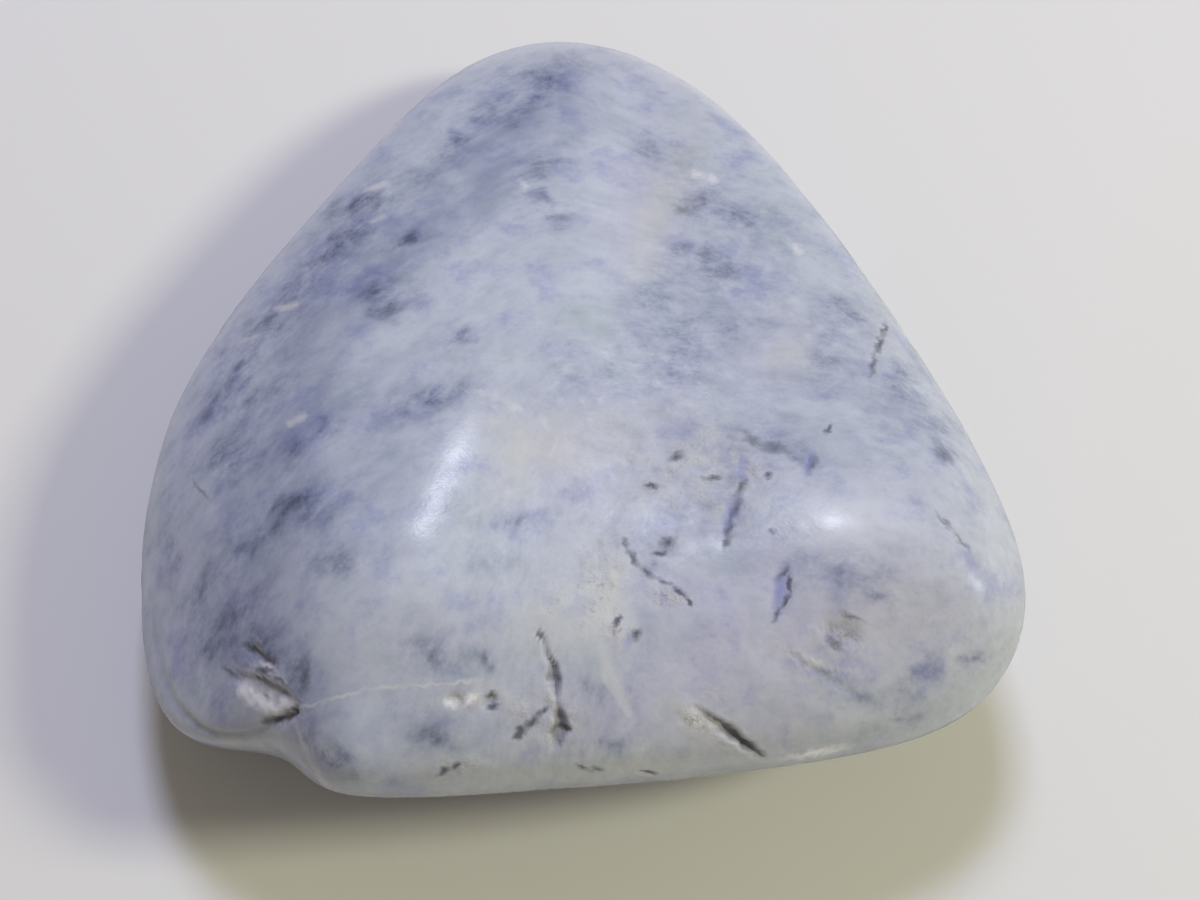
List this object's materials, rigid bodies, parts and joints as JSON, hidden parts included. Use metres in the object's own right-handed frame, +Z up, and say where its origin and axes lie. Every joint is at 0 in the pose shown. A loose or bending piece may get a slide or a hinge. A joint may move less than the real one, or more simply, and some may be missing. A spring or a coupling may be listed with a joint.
{
  "type": "viewing stone",
  "caption": "Rounded three-cornered river-worn jade cobble with a flat top, a steep cracked front face and a small flat spot underneath to rest on.",
  "frame": {"origin": "centre of the stone's box at its lowest point, on the flat spot it rests on", "axes": "+Z up, through the stone's least extent; the steep cracked face looks towards -Y and the narrow end points to +Y"},
  "size_m": [0.1183, 0.1326, 0.041],
  "materials": {
    "jade": "satin polished lavender and blue-grey jade with dark grey-blue clouds"
  },
  "bodies": {
    "root": {"stone": "jade"}
  },
  "joints": []
}
